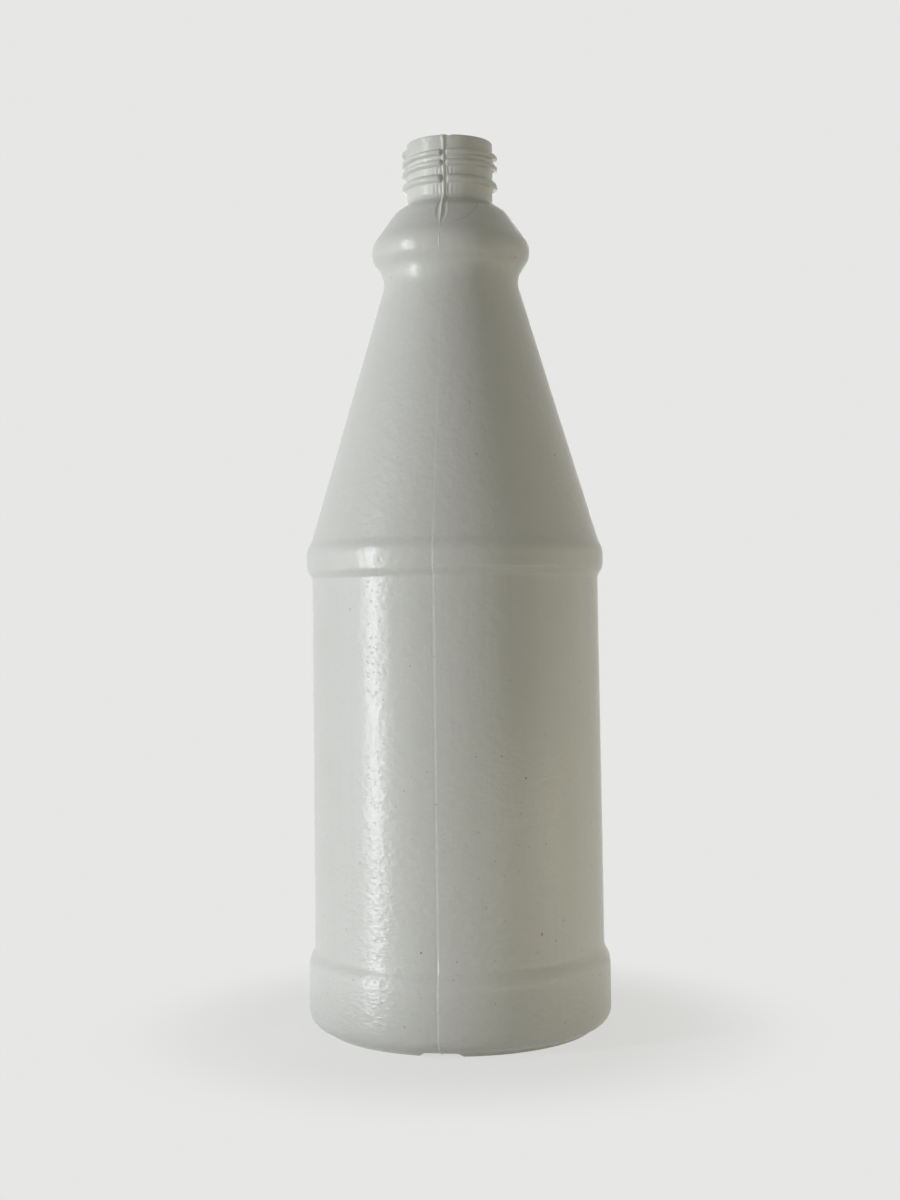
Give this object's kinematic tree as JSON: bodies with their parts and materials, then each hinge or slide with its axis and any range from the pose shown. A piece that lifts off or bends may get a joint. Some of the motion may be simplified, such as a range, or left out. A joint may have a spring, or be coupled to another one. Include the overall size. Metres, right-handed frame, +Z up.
{
  "type": "conical bottle",
  "caption": "Blow-moulded conical plastic bottle with a threaded neck, a bulb grip, a tapering upper half, a recessed label panel and a rounded base band.",
  "frame": {"origin": "centre of the standing face, on the bottle's axis", "axes": "+Z up the bottle's axis towards the mouth; the mould's parting plane is X = 0, and -Y is the side that the picture shows"},
  "size_m": [0.088, 0.088, 0.2576],
  "materials": {
    "bottle": "satin white, faintly grained, slightly translucent"
  },
  "bodies": {
    "root": {"bottle": "bottle"}
  },
  "joints": []
}
